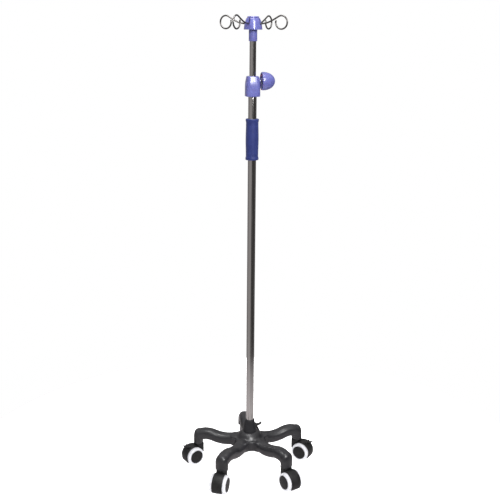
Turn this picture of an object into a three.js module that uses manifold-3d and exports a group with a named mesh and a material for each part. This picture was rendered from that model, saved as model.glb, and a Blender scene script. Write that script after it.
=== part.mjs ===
// Wheeled drip stand: a five-legged base on twin-wheel casters, a telescopic mast with a
// clamp and a hand grip, and a turning head with four folding bag hooks.
// Millimetres and degrees. +Z is up, the origin is on the mast axis at floor level.
import * as THREE from "three";
import { mergeVertices } from "three/addons/utils/BufferGeometryUtils.js";
import Module from "manifold-3d";

const wasm = await Module();
wasm.setup();

// ---- Driving dimensions ----
const gap = 0.3; // between pieces that touch, and round pieces that turn or slide

// Casters
const wheelRadius = 37.5;
const wheelSpacing = 18; // between the inner faces of the two wheels
const tyreWidth = 25;
const tyreDepth = 10.2;
const capBulge = 2; // how far a wheel cap stands out of its tyre
const axleRadius = 4;
const trail = 30; // from the stem to the axle
const hoodClearance = 1.5;
const hoodWall = 3.5;
const hoodWidth = 44;
const hoodWebWidth = 14;
const hoodTrailingEdge = -35; // angles round the axle, from the trailing side
const hoodLeadingEdge = 165;
const stemRadius = 5.5;
const stemGrip = 42; // length of the stem inside a leg
const stemSeat = 30; // length of the stem inside a hood
const stemFlangeRadius = 10;
const stemFlangeDepth = 3.4;
const pedalAngle = 62; // place of the pedal hinge round the axle
const pedalLength = 27;
const pedalWidth = 22;
const pedalPinRadius = 1.6;
const casterPlaces = [
  { name: "rear_right", trailAngle: 330, brake: true },
  { name: "rear", trailAngle: 10, brake: true },
  { name: "rear_left", trailAngle: 215, brake: true },
  { name: "front_left", trailAngle: 254, brake: false },
  { name: "front_right", trailAngle: 304, brake: false },
];

// Star base
const firstLegAngle = 24.2;
const legReach = 223; // from the mast axis to a caster stem
const legWidth = 52;
const legDepth = 44;
const legEdgeRadius = 17;
const legEndRadius = 20;
const legEndWidth = 56;
const legEndHeight = 59;
const baseWall = 5;
const webFillet = 28; // rounding in plan between two legs
const hubRise = 10; // of the hub's underside over the legs' ends
const hubPlateDepth = 40;
const hubPlateBevel = 8;
const hubDepth = 65;
const hubBossWall = 10.7;
const hubFloorRise = 9;
const hubFloorDepth = 6;
const boltRadius = 5;
const boltHeadRadius = 8.5;
const boltHeadDepth = 6;
const washerDepth = 1.6;
const washerRadius = 11.5;
const insertLength = 30;

// Mast
const upperTubeRadius = 12.5;
const mastPlay = 2; // between the two tubes, for the bushes that guide them
const lowerTubeWall = 1.5;
const lowerTubeLength = 1478;
const upperTubeWall = 1.2;
const upperTubeLength = 795;
const mastShown = 129; // upper tube showing between the clamp and the head
const guideLength = 30;
const collarHeight = 53;
const collarTopWall = 3.2;
const collarFootWall = 11.5;
const collarFlutes = 14;
const fluteRadius = 1.8;

// Grip
const gripLength = 158;
const gripDrop = 85; // from the clamp's underside to the grip's top
const gripWall = 9.3;
const gripWaist = 1.6; // how far the grip narrows beside its flanges

// Clamp
const clampHeight = 76;
const clampSocket = 38.7; // length of lower tube inside the clamp
const clampWall = 11.25; // from the lower tube to the flat sides
const clampCorner = 15;
const clampShoulder = 35;
const clampShoulderInset = 6.8;
const knobAngle = 11;
const knobDrop = 19; // from the clamp's top to the knob's axis
const knobRadius = 34.5;
const knobDepth = 53;
const knobRim = 15;
const knobNeck = 6.5;
const screwRadius = 4;
const screwInKnob = 26;
const padRadius = 5.2;
const padDepth = 6.7;
const padTravel = 3;

// Head
const sleeveWall = 3.1;
const sleeveShown = 42;
const bellHeight = 42;
const bellFlare = 8.8; // growth of the bell's radius from its top to its skirt
const bellWall = 3.4;
const bellRecess = 12;
const capHeight = 6.5;
const capInset = 3.6;
const capSpigotRadius = 6;
const capSpigotDepth = 8;
const pivotRise = 22; // of the hook pivots over the skirt
const pivotWireRadius = 1.5;

// Hooks
const hookAngles = [60, 150, 240, 330];
const wireRadius = 3;
const hookRingRadius = 24;
const hookReach = 120; // from the mast axis to a ring's centre
const hookRingRise = 5; // of a ring's centre over the pivots
const hookArmAngle = 115; // where the arm meets the ring
const hookSweep = 309; // how far the ring goes round
const eyeRadius = 5.2;
const eyeHoleRadius = 2.1;

// ---- Heights and radii that follow from them ----
const lowerTubeRadius = upperTubeRadius + mastPlay + lowerTubeWall;
const footBore = lowerTubeRadius + gap;
const hubBossRadius = footBore + hubBossWall;
const axleHeight = wheelRadius;
const wheelSpaceRadius = wheelRadius + hoodClearance;
const hoodRadius = wheelSpaceRadius + hoodWall;
const hoodBossTop = axleHeight + hoodRadius + 4;
const stemFlangeBottom = hoodBossTop + gap;
const socketBottom = stemFlangeBottom + stemFlangeDepth + gap;
const hubBottom = socketBottom + hubRise;
const hubTop = hubBottom + hubDepth;
const hubFloorBottom = hubBottom + hubFloorRise;
const hubFloorTop = hubFloorBottom + hubFloorDepth;
const lowerTubeBottom = hubFloorTop + gap;
const lowerTubeTop = lowerTubeBottom + lowerTubeLength;
const clampBottom = lowerTubeTop - clampSocket;
const clampTop = clampBottom + clampHeight;
const clampHalf = lowerTubeRadius + clampWall;
const bushRadius = lowerTubeRadius - lowerTubeWall;
const gripTop = clampBottom - gripDrop;
const sleeveRadius = upperTubeRadius + gap + sleeveWall;
const sleeveBottom = clampTop + mastShown;
const skirtBottom = sleeveBottom + sleeveShown;
const recessTop = skirtBottom + bellRecess;
const bellTop = skirtBottom + bellHeight;
const upperTubeTop = recessTop + sleeveWall;
const upperTubeBottom = upperTubeTop - upperTubeLength;
const pivotHeight = skirtBottom + pivotRise;
const pivotRadius = sleeveRadius + sleeveWall;
const bellTopRadius = pivotRadius + wireRadius + 4;

const radians = THREE.MathUtils.degToRad;
const roundSteps = 24;

// ---- Materials ----
function finish(color, roughness, metalness) {
  return new THREE.MeshStandardMaterial({ color, roughness, metalness });
}

const polishedSteel = finish(0xb9b6b3, 0.14, 1);
const zincSteel = finish(0x9a9c9e, 0.35, 1);
const violetPlastic = finish(0x7478bd, 0.28, 0);
const blueRubber = finish(0x2c3f86, 0.62, 0);
const charcoalPlastic = finish(0x2d2c31, 0.42, 0);
const blackPlastic = finish(0x1c1c1e, 0.5, 0);
const innerPlastic = finish(0xd8d6cf, 0.55, 0);
const greyTyre = finish(0xd9dadb, 0.6, 0);

// ---- Making shapes ----
// Turns a closed three.js geometry into a solid that can be joined and cut.
function solid(geometry) {
  const bare = geometry.clone();
  bare.deleteAttribute("normal");
  bare.deleteAttribute("uv");
  const merged = mergeVertices(bare, 1e-4);
  const mesh = new wasm.Mesh({
    numProp: 3,
    vertProperties: new Float32Array(merged.attributes.position.array),
    triVerts: new Uint32Array(merged.index.array),
  });
  return new wasm.Manifold(mesh);
}

// Turns a solid back into a three.js geometry.
function geometryOf(made) {
  const mesh = made.getMesh();
  const geometry = new THREE.BufferGeometry();
  geometry.setAttribute("position", new THREE.BufferAttribute(mesh.vertProperties, 3));
  geometry.setIndex(new THREE.BufferAttribute(mesh.triVerts, 1));
  geometry.computeVertexNormals();
  return geometry;
}

// Joins the pieces of a list, then takes the cutters of a second list away.
function carve(pieces, cutters = []) {
  let made = solid(pieces[0]);
  for (const piece of pieces.slice(1)) made = made.add(solid(piece));
  for (const cutter of cutters) made = made.subtract(solid(cutter));
  return geometryOf(made);
}

// A shape turned round +Z, from [radius, height] points that run up its outside.
function turned(profile, steps = roundSteps) {
  const points = profile.map(([radius, height]) => new THREE.Vector2(radius, height));
  return new THREE.LatheGeometry(points, steps).rotateX(Math.PI / 2);
}

// A ring: its profile closes on itself.
function turnedRing(profile, steps = roundSteps) {
  return turned([...profile, profile[0]], steps);
}

function rod(radius, bottom, top, steps = roundSteps) {
  return turned([[0, bottom], [radius, bottom], [radius, top], [0, top]], steps);
}

function pipe(innerRadius, outerRadius, bottom, top, steps = roundSteps) {
  const profile = [
    [innerRadius, bottom],
    [outerRadius, bottom],
    [outerRadius, top],
    [innerRadius, top],
  ];
  return turnedRing(profile, steps);
}

// A rod along +Y, centred on the origin unless it is shifted.
function crossRod(radius, length, steps = roundSteps) {
  return rod(radius, -length / 2, length / 2, steps).rotateX(-Math.PI / 2);
}

// A side view in X and Z, given thickness along Y about the origin.
function sideView(shape, width, curveSegments = 6) {
  const settings = { depth: width, bevelEnabled: false, curveSegments };
  return new THREE.ExtrudeGeometry(shape, settings).rotateX(Math.PI / 2).translate(0, width / 2, 0);
}

function roundedBox(left, bottom, width, height, radius) {
  const right = left + width;
  const top = bottom + height;
  const shape = new THREE.Shape();
  shape.moveTo(left + radius, bottom);
  shape.lineTo(right - radius, bottom);
  shape.absarc(right - radius, bottom + radius, radius, -Math.PI / 2, 0, false);
  shape.absarc(right - radius, top - radius, radius, 0, Math.PI / 2, false);
  shape.absarc(left + radius, top - radius, radius, Math.PI / 2, Math.PI, false);
  shape.absarc(left + radius, bottom + radius, radius, Math.PI, Math.PI * 1.5, false);
  return shape;
}

// An outline carried along a path that lies in the X and Z plane.
// The outline's x runs across the path and its y runs down from it.
function swept(outline, path, steps, curveSegments = 2) {
  const curve = new THREE.CatmullRomCurve3(path.map(([x, z]) => new THREE.Vector3(x, 0, z)));
  return new THREE.ExtrudeGeometry(outline, { steps, extrudePath: curve, curveSegments });
}

const stand = new THREE.Group();

function place(name, geometry, material, group = stand) {
  const mesh = new THREE.Mesh(geometry, material);
  mesh.name = name;
  group.add(mesh);
  return mesh;
}

// ---- Star base ----
const legAngles = casterPlaces.map((_, i) => firstLegAngle + (360 / casterPlaces.length) * i);

// Plan of the hub: short leg roots with a hollow fillet between each two.
function starPlan(halfWidth, fillet) {
  const plan = new THREE.Shape();
  const halfTurn = 180 / legAngles.length;
  const filletDistance = (halfWidth + fillet) / Math.sin(radians(halfTurn));
  const reach = filletDistance * Math.cos(radians(halfTurn)) + 2;
  legAngles.forEach((angle, i) => {
    const along = new THREE.Vector2(Math.cos(radians(angle)), Math.sin(radians(angle)));
    const across = new THREE.Vector2(-along.y, along.x);
    const tip = along.clone().multiplyScalar(reach);
    const right = tip.clone().addScaledVector(across, -halfWidth);
    const left = tip.clone().addScaledVector(across, halfWidth);
    if (i === 0) plan.moveTo(right.x, right.y);
    else plan.lineTo(right.x, right.y);
    plan.lineTo(left.x, left.y);
    const bisector = radians(angle + halfTurn);
    const centreX = filletDistance * Math.cos(bisector);
    const centreY = filletDistance * Math.sin(bisector);
    const start = radians(angle + 270);
    const end = radians(angle + 90 + 2 * halfTurn);
    plan.absarc(centreX, centreY, fillet, start, end, true);
  });
  return plan;
}

// Height of a leg's middle over its end's underside, by its share of the reach.
const legWave = [
  [0.1, 34],
  [0.27, 32.5],
  [0.467, 28.5],
  [0.614, 32.5],
  [0.749, 41],
  [0.874, 42],
  [0.965, 36],
];

function makeStarBase() {
  const legPath = legWave.map(([share, rise]) => [share * legReach, socketBottom + rise]);
  const halfWidth = legWidth / 2;
  const halfDepth = legDepth / 2;
  const innerHalf = halfWidth - baseWall;
  const outerLeg = roundedBox(-halfWidth, -halfDepth, legWidth, legDepth, legEdgeRadius);
  const innerTop = baseWall - halfDepth;
  const innerChamfer = legEdgeRadius - baseWall;
  const innerLeg = new THREE.Shape([
    new THREE.Vector2(innerHalf, innerTop + innerChamfer),
    new THREE.Vector2(innerHalf, halfDepth + baseWall),
    new THREE.Vector2(-innerHalf, halfDepth + baseWall),
    new THREE.Vector2(-innerHalf, innerTop + innerChamfer),
    new THREE.Vector2(innerChamfer - innerHalf, innerTop),
    new THREE.Vector2(innerHalf - innerChamfer, innerTop),
  ]);
  const endSpread = legEndWidth / 2 / legEndRadius;
  const innerEndRadius = legEndRadius - baseWall;
  const innerEndSpread = (legEndWidth / 2 - baseWall) / innerEndRadius;
  const overcut = 2 * baseWall;

  const endDome = turned([
    [0, socketBottom],
    [legEndRadius, socketBottom],
    [legEndRadius, socketBottom + 0.42 * legEndHeight],
    [0.9 * legEndRadius, socketBottom + 0.68 * legEndHeight],
    [0.62 * legEndRadius, socketBottom + 0.87 * legEndHeight],
    [0, socketBottom + legEndHeight],
  ], 14).scale(1, endSpread, 1);
  const endHollow = turned([
    [0, socketBottom - overcut],
    [innerEndRadius, socketBottom - overcut],
    [innerEndRadius, socketBottom + 0.42 * legEndHeight],
    [0.55 * innerEndRadius, socketBottom + 0.8 * legEndHeight - baseWall],
    [0, socketBottom + 0.9 * legEndHeight - baseWall],
  ], 10).scale(1, innerEndSpread, 1);
  const legSolids = [
    swept(outerLeg, legPath, 9, 1),
    endDome.translate(legReach, 0, 0),
  ];
  const legHollows = [
    swept(innerLeg, legPath, 6, 1),
    endHollow.translate(legReach, 0, 0),
  ];

  const plate = new THREE.ExtrudeGeometry(starPlan(halfWidth, webFillet), {
    depth: hubPlateDepth - hubPlateBevel,
    bevelThickness: hubPlateBevel,
    bevelSize: hubPlateBevel,
    bevelOffset: -hubPlateBevel,
    bevelSegments: 2,
    curveSegments: 3,
  }).translate(0, 0, hubBottom);
  const plateFoot = new THREE.BoxGeometry(3 * legReach, 3 * legReach, 4 * hubPlateBevel);
  plateFoot.translate(0, 0, hubBottom - 2 * hubPlateBevel);
  const plateHollow = new THREE.ExtrudeGeometry(
    starPlan(innerHalf, webFillet + baseWall),
    { depth: hubPlateDepth, bevelEnabled: false, curveSegments: 2 },
  ).translate(0, 0, hubBottom - baseWall);

  const plateTop = hubBottom + hubPlateDepth;
  const hubRadius = 2 * hubBossRadius;
  const crown = turned([
    [0, plateTop - baseWall],
    [hubRadius + 3, plateTop - baseWall],
    [hubRadius, plateTop + 5],
    [0.82 * hubRadius, plateTop + 0.65 * (hubTop - plateTop)],
    [0.62 * hubRadius, hubTop - 1.2],
    [0.53 * hubRadius, hubTop],
    [0, hubTop],
  ]);

  let shell = solid(plate).subtract(solid(plateFoot)).add(solid(crown));
  let hollow = solid(plateHollow);
  for (const angle of legAngles) {
    for (const piece of legSolids) shell = shell.add(solid(piece.clone().rotateZ(radians(angle))));
    for (const piece of legHollows) hollow = hollow.add(solid(piece.clone().rotateZ(radians(angle))));
  }
  let made = shell.subtract(hollow);

  // Bosses for the tube and the stems, then their holes.
  made = made.add(solid(rod(hubBossRadius, hubBottom, plateTop)));
  const holes = [
    rod(footBore, hubFloorTop, hubTop + 1),
    rod(boltRadius + gap, hubBottom - 1, hubTop, 12),
    rod(washerRadius + 2 * gap, hubBottom - 1, hubFloorBottom),
  ];
  for (const angle of legAngles) {
    const x = legReach * Math.cos(radians(angle));
    const y = legReach * Math.sin(radians(angle));
    const bossTop = socketBottom + 0.85 * legEndHeight;
    made = made.add(solid(rod(2 * stemRadius, socketBottom, bossTop, 10).translate(x, y, 0)));
    const socket = rod(stemRadius + gap, socketBottom - 1, socketBottom + stemGrip + gap, 12);
    holes.push(socket.translate(x, y, 0));
  }
  for (const hole of holes) made = made.subtract(solid(hole));
  place("star_base", geometryOf(made), charcoalPlastic);
}

function makeMastFoot() {
  const washerTop = hubFloorBottom - gap;
  const washerBottom = washerTop - washerDepth;
  const headTop = washerBottom - gap;
  const insertBottom = lowerTubeBottom + 1;
  const boltTop = insertBottom + insertLength - 4;
  place("bolt_washer", pipe(boltRadius + gap, washerRadius, washerBottom, washerTop, 16), zincSteel);
  const bolt = carve([
    rod(boltHeadRadius, headTop - boltHeadDepth, headTop, 6),
    rod(boltRadius, headTop - 1, boltTop, 12),
  ]);
  place("mast_bolt", bolt, zincSteel);
  const insertRadius = lowerTubeRadius - lowerTubeWall - gap;
  const insertTop = insertBottom + insertLength;
  place("tube_insert", pipe(boltRadius + gap, insertRadius, insertBottom, insertTop, 16), zincSteel);
}

function makeBaseCollar() {
  const footRadius = footBore + collarFootWall;
  const topRadius = footBore + collarTopWall;
  const bottom = hubTop + gap;
  const top = bottom + collarHeight;
  const taper = Math.atan2(footRadius - topRadius, collarHeight);
  const cone = turnedRing([
    [footBore, bottom],
    [footRadius - 1, bottom],
    [footRadius, bottom + 2],
    [topRadius, top - 1.5],
    [topRadius - 1.2, top],
    [footBore, top],
  ], 2 * collarFlutes);
  const flutes = [];
  for (let i = 0; i < collarFlutes; i++) {
    const flute = rod(fluteRadius, -collarHeight, collarHeight, 6).rotateY(-taper);
    const reach = (footRadius + topRadius) / 2 + 0.35 * fluteRadius;
    flute.translate(reach, 0, bottom + collarHeight / 2);
    flutes.push(flute.rotateZ((2 * Math.PI * (i + 0.5)) / collarFlutes));
  }
  place("base_collar", carve([cone], flutes), blackPlastic);
}

// ---- Casters ----
// Built with the stem on +Z, the axle along +Y and the trailing side towards +X.
const tyreInside = wheelSpacing / 2;
const tyreOutside = tyreInside + tyreWidth;
const coreRadius = wheelRadius - tyreDepth - gap;
const tyreSteps = 16;
const pedalHingeRadius = hoodRadius + 4.6;
const pedalHinge = {
  x: trail + pedalHingeRadius * Math.cos(radians(pedalAngle)),
  z: axleHeight + pedalHingeRadius * Math.sin(radians(pedalAngle)),
};
const earWidth = 3.5;
const earRadius = 3 + pedalPinRadius;

function sector(radius, from, to) {
  const shape = new THREE.Shape();
  shape.moveTo(0, 0);
  shape.absarc(0, 0, radius, radians(from), radians(to), false);
  shape.lineTo(0, 0);
  return shape;
}

function makeHood(brake) {
  const atAxle = (geometry) => geometry.translate(trail, 0, axleHeight);
  const bossRadius = 2.3 * stemRadius;
  const bossFoot = axleHeight + 0.5 * hoodRadius;
  const parts = [
    atAxle(sideView(sector(hoodRadius, hoodTrailingEdge, hoodLeadingEdge), hoodWidth, 7)),
    turned([
      [0, bossFoot],
      [bossRadius + 2, bossFoot],
      [bossRadius + 2, hoodBossTop - 6],
      [bossRadius - 1, hoodBossTop],
      [0, hoodBossTop],
    ], 12),
  ];
  if (brake) {
    for (const side of [-1, 1]) {
      const reach = pedalWidth / 2 + gap + earWidth / 2;
      const ear = crossRod(earRadius, earWidth, 8).translate(pedalHinge.x, side * reach, pedalHinge.z);
      const foot = new THREE.BoxGeometry(2 * earRadius, earWidth, 2 * earRadius);
      foot.translate(0, 0, -earRadius).rotateY(radians(90 - pedalAngle));
      parts.push(ear, foot.translate(pedalHinge.x, side * reach, pedalHinge.z));
    }
  }
  let made = solid(parts[0]);
  for (const part of parts.slice(1)) made = made.add(solid(part));
  const wheelSpace = atAxle(crossRod(wheelSpaceRadius, 2 * hoodWidth));
  made = made.subtract(solid(wheelSpace));
  const web = atAxle(sideView(sector(hoodRadius - 1, hoodTrailingEdge, hoodLeadingEdge), hoodWebWidth, 5));
  const axleBoss = atAxle(crossRod(3 * axleRadius, hoodWebWidth, 12));
  made = made.add(solid(web)).add(solid(axleBoss));
  made = made.subtract(solid(atAxle(crossRod(axleRadius + gap, 2 * hoodWebWidth, 12))));
  const seatBottom = hoodBossTop - stemSeat - gap;
  made = made.subtract(solid(rod(stemRadius + gap, seatBottom, hoodBossTop + 1, 12)));
  if (brake) {
    const pinHole = crossRod(pedalPinRadius + gap, 2 * hoodWidth, 8);
    made = made.subtract(solid(pinHole.translate(pedalHinge.x, 0, pedalHinge.z)));
  }
  return geometryOf(made);
}

function makeStem() {
  return turned([
    [0, hoodBossTop - stemSeat],
    [stemRadius, hoodBossTop - stemSeat],
    [stemRadius, stemFlangeBottom],
    [stemFlangeRadius, stemFlangeBottom],
    [stemFlangeRadius, stemFlangeBottom + stemFlangeDepth],
    [stemRadius, stemFlangeBottom + stemFlangeDepth],
    [stemRadius, socketBottom + stemGrip - 2],
    [stemRadius - 2, socketBottom + stemGrip],
    [0, socketBottom + stemGrip],
  ], 12);
}

const axleLength = 2 * (tyreOutside - 4);

// The wheel's core: a blind bore for the axle, a seat for the tyre and a domed outer cap.
function makeWheelCore() {
  const boreEnd = axleLength / 2 + gap;
  return turned([
    [0, boreEnd],
    [axleRadius + gap, boreEnd],
    [axleRadius + gap, tyreInside],
    [coreRadius, tyreInside],
    [coreRadius, tyreOutside - 1],
    [0.84 * coreRadius, tyreOutside + 0.7 * capBulge],
    [0, tyreOutside + capBulge],
  ], tyreSteps).rotateZ(Math.PI / tyreSteps);
}

// The wheels are stored standing on a flat, so their corners lie a little outside the radius.
function makeTyre() {
  const inner = coreRadius + gap;
  const cornerRadius = wheelRadius / Math.cos(Math.PI / tyreSteps);
  const profile = [
    [inner, tyreInside],
    [cornerRadius, tyreInside],
    [cornerRadius, tyreOutside - 4],
    [cornerRadius - 2.5, tyreOutside - 0.6],
    [inner, tyreOutside],
  ];
  return turnedRing(profile, tyreSteps).rotateZ(Math.PI / tyreSteps);
}

// A foot pedal on its own stub pins, with a tab that rises away from the hood.
function makePedal() {
  const barrelRadius = earRadius - 1.4;
  const tab = new THREE.Shape();
  tab.moveTo(0, -barrelRadius + 0.4);
  tab.lineTo(0.55 * pedalLength, -0.5);
  tab.lineTo(pedalLength, 1.6);
  tab.lineTo(pedalLength, 5);
  tab.lineTo(0.55 * pedalLength, 3.4);
  tab.lineTo(0, barrelRadius - 0.2);
  const pinReach = pedalWidth + 2 * (gap + earWidth - 0.5);
  return carve([
    crossRod(barrelRadius, pedalWidth, 8),
    crossRod(pedalPinRadius, pinReach, 8),
    sideView(tab, pedalWidth - 2),
  ]);
}

function makeCasters() {
  casterPlaces.forEach(({ name, trailAngle, brake }, i) => {
    const legAngle = radians(legAngles[i]);
    const caster = new THREE.Group();
    caster.position.set(legReach * Math.cos(legAngle), legReach * Math.sin(legAngle), 0);
    caster.rotation.z = radians(trailAngle);
    stand.add(caster);
    place(`${name}_caster_stem`, makeStem(), zincSteel, caster);
    place(`${name}_caster_hood`, makeHood(brake), blackPlastic, caster);
    const axle = place(`${name}_caster_axle`, crossRod(axleRadius, axleLength, 12), zincSteel, caster);
    axle.position.set(trail, 0, axleHeight);
    for (const [side, turn] of [["left", -Math.PI / 2], ["right", Math.PI / 2]]) {
      const core = place(`${name}_caster_${side}_wheel`, makeWheelCore(), blackPlastic, caster);
      const tyre = place(`${name}_caster_${side}_tyre`, makeTyre(), greyTyre, caster);
      for (const piece of [core, tyre]) {
        piece.position.set(trail, 0, axleHeight);
        piece.rotation.x = turn;
      }
    }
    if (brake) {
      const pedal = place(`${name}_caster_pedal`, makePedal(), blackPlastic, caster);
      pedal.position.set(pedalHinge.x, 0, pedalHinge.z);
    }
  });
}

// ---- Mast, grip and clamp ----
function makeMast() {
  const lowerInner = lowerTubeRadius - lowerTubeWall;
  const upperInner = upperTubeRadius - upperTubeWall;
  place("lower_tube", pipe(lowerInner, lowerTubeRadius, lowerTubeBottom, lowerTubeTop), polishedSteel);
  place("upper_tube", pipe(upperInner, upperTubeRadius, upperTubeBottom, upperTubeTop), polishedSteel);
  const guideBottom = upperTubeBottom + 5;
  const guideTop = guideBottom + guideLength;
  place("guide_bush", pipe(upperTubeRadius + gap, lowerInner - gap, guideBottom, guideTop), innerPlastic);
}

function makeGrip() {
  const inner = lowerTubeRadius + gap;
  const flange = inner + gripWall;
  const waist = flange - gripWaist;
  const bottom = gripTop - gripLength;
  const end = 9; // height of each end flange
  const half = [
    [flange - 0.8, 0],
    [flange, 1.5],
    [flange, end],
    [waist, end + 5],
    [waist + 0.3, 0.3 * gripLength],
    [flange - 0.4, 0.5 * gripLength],
  ];
  const upperHalf = half.slice(0, -1).reverse().map(([radius, rise]) => [radius, gripLength - rise]);
  const outside = [...half, ...upperHalf].map(([radius, rise]) => [radius, bottom + rise]);
  place("hand_grip", turnedRing([[inner, bottom], ...outside, [inner, gripTop]]), blueRubber);
}

// The clamp is built with its knob towards +X, then turned to its place.
function makeClamp() {
  const clamp = new THREE.Group();
  clamp.rotation.z = radians(knobAngle);
  stand.add(clamp);
  const knobHeight = clampTop - knobDrop;
  const alongX = (geometry) => geometry.rotateY(Math.PI / 2).translate(0, 0, knobHeight);
  const padBack = upperTubeRadius + gap + padDepth;
  const pocketEnd = padBack + padTravel + 1;
  const screwTip = padBack + gap;
  const knobBack = clampHalf + knobNeck;

  const block = new THREE.ExtrudeGeometry(
    roundedBox(-clampHalf, -clampHalf, 2 * clampHalf, 2 * clampHalf, clampCorner),
    {
      depth: clampHeight - clampShoulder,
      bevelThickness: clampShoulder,
      bevelSize: clampShoulderInset,
      bevelOffset: -clampShoulderInset,
      bevelSegments: 4,
      curveSegments: 3,
    },
  ).translate(0, 0, clampBottom);
  const foot = new THREE.BoxGeometry(4 * clampHalf, 4 * clampHalf, 2 * clampShoulder);
  foot.translate(0, 0, clampBottom - clampShoulder);
  const body = carve([block], [
    foot,
    rod(lowerTubeRadius + gap, clampBottom - 1, lowerTubeTop + gap),
    rod(bushRadius + gap, lowerTubeTop, clampTop + 1),
    alongX(rod(padRadius + gap, 0, pocketEnd, 12)),
    alongX(rod(screwRadius + gap, 0, 2 * clampHalf, 12)),
  ]);
  place("clamp_body", body, violetPlastic, clamp);

  const bush = carve(
    [pipe(upperTubeRadius + gap, bushRadius, lowerTubeTop + 2 * gap, clampTop - gap)],
    [alongX(rod(padRadius + gap, 0, 2 * clampHalf, 12))],
  );
  place("clamp_bush", bush, innerPlastic, clamp);
  place("pressure_pad", alongX(rod(padRadius, upperTubeRadius + gap, padBack, 12)), innerPlastic, clamp);
  const screwEnd = knobBack + screwInKnob;
  place("clamp_screw", alongX(rod(screwRadius, screwTip, screwEnd, 12)), zincSteel, clamp);

  const profile = [
    [0, knobBack + screwInKnob + gap],
    [screwRadius + gap, knobBack + screwInKnob + gap],
    [screwRadius + gap, knobBack],
    [knobRadius - 3, knobBack],
    [knobRadius, knobBack + 3],
  ];
  const domeSteps = 6;
  for (let i = 0; i <= domeSteps; i++) {
    const turn = (Math.PI / 2) * (i / domeSteps);
    const radius = i === domeSteps ? 0 : knobRadius * Math.cos(turn);
    profile.push([radius, knobBack + knobRim + (knobDepth - knobRim) * Math.sin(turn)]);
  }
  place("clamp_knob", alongX(turned(profile)), violetPlastic, clamp);
}

// ---- Head ----
// Clears one hook's eye and arm, and the way that the arm takes as the hook folds up.
function hookSlot(angle) {
  const half = wireRadius + 2 * gap;
  const slot = new THREE.Shape();
  const top = bellTop + capHeight + 5 - pivotHeight;
  const eye = eyeRadius + 2 * gap;
  slot.moveTo(3 * pivotRadius, -wireRadius - gap);
  slot.lineTo(3 * pivotRadius, top);
  slot.lineTo(-wireRadius - 2 * gap, top);
  slot.lineTo(-wireRadius - 2 * gap, eye);
  slot.absarc(0, 0, eye, Math.PI / 2 + 0.6, Math.PI * 1.5 + 0.6, false);
  return sideView(slot, 2 * half).translate(pivotRadius, 0, pivotHeight).rotateZ(radians(angle));
}

function makeHead() {
  const tubeBore = upperTubeRadius + gap;
  const sleeveTop = recessTop - gap;
  const sleeve = [
    [tubeBore, sleeveBottom],
    [sleeveRadius - 1.2, sleeveBottom],
    [sleeveRadius, sleeveBottom + 1.5],
    [sleeveRadius, sleeveTop],
    [tubeBore, sleeveTop],
  ];
  place("hub_sleeve", turnedRing(sleeve), violetPlastic);

  const skirtRadius = bellTopRadius + bellFlare;
  const bell = [
    [0, upperTubeTop + gap],
    [tubeBore, upperTubeTop + gap],
    [tubeBore, recessTop],
    [skirtRadius - bellWall - 1, recessTop],
    [skirtRadius - bellWall, skirtBottom],
    [skirtRadius, skirtBottom],
    [skirtRadius - 0.15 * bellFlare, skirtBottom + 0.3 * bellHeight],
    [skirtRadius - 0.34 * bellFlare, skirtBottom + 0.53 * bellHeight],
    [skirtRadius - 0.66 * bellFlare, skirtBottom + 0.76 * bellHeight],
    [bellTopRadius, bellTop - 1.5],
    [bellTopRadius - 1.5, bellTop],
    [capSpigotRadius + gap, bellTop],
    [capSpigotRadius + gap, bellTop - capSpigotDepth - 1],
    [0, bellTop - capSpigotDepth - 1],
  ];
  const ringChannel = pipe(
    pivotRadius - pivotWireRadius - 2 * gap,
    pivotRadius + pivotWireRadius + 2 * gap,
    pivotHeight - pivotWireRadius - gap,
    bellTop + 1,
  );
  const slots = hookAngles.map(hookSlot);
  place("hook_hub", carve([turned(bell)], [ringChannel, ...slots]), violetPlastic);

  const capRadius = bellTopRadius - capInset;
  const capBottom = bellTop + gap;
  const capTop = bellTop + capHeight;
  const cap = turned([
    [0, bellTop - capSpigotDepth],
    [capSpigotRadius, bellTop - capSpigotDepth],
    [capSpigotRadius, capBottom],
    [capRadius, capBottom],
    [capRadius, capTop - 2.5],
    [capRadius - 2, capTop],
    [0, capTop],
  ]);
  place("hub_cap", carve([cap], slots), violetPlastic);

  const ring = [];
  const ringSides = 6;
  for (let i = 0; i < ringSides; i++) {
    const turn = (2 * Math.PI * i) / ringSides;
    ring.push([pivotRadius + pivotWireRadius * Math.cos(turn), pivotHeight + pivotWireRadius * Math.sin(turn)]);
  }
  place("hook_pivot_ring", turnedRing(ring), zincSteel);
}

// Built with the pivot at the origin and the hook reaching out along +X.
function makeHook() {
  const centre = hookReach - pivotRadius;
  const path = [[eyeRadius - 1.5, 0]];
  for (const [share, rise] of [[0.2, 0.1], [0.42, 3.8], [0.64, 13]]) path.push([share * centre, rise]);
  const ringSteps = 12;
  for (let i = 0; i <= ringSteps; i++) {
    const turn = radians(hookArmAngle - (hookSweep * i) / ringSteps);
    path.push([
      centre + hookRingRadius * Math.cos(turn),
      hookRingRise + hookRingRadius * Math.sin(turn),
    ]);
  }
  const wire = new THREE.Shape();
  wire.absarc(0, 0, wireRadius, 0, 2 * Math.PI, false);
  const eyeWidth = 2 * wireRadius;
  return carve(
    [swept(wire, path, 26, 4), crossRod(eyeRadius, eyeWidth, 12)],
    [crossRod(eyeHoleRadius, 2 * eyeWidth, 8)],
  );
}

function makeHooks() {
  hookAngles.forEach((angle, i) => {
    const hook = place(`hook_${i + 1}`, makeHook(), polishedSteel);
    hook.position.set(pivotRadius * Math.cos(radians(angle)), pivotRadius * Math.sin(radians(angle)), pivotHeight);
    hook.rotation.z = radians(angle);
  });
}

makeStarBase();
makeMastFoot();
makeBaseCollar();
makeCasters();
makeMast();
makeGrip();
makeClamp();
makeHead();
makeHooks();

export default stand;
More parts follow.
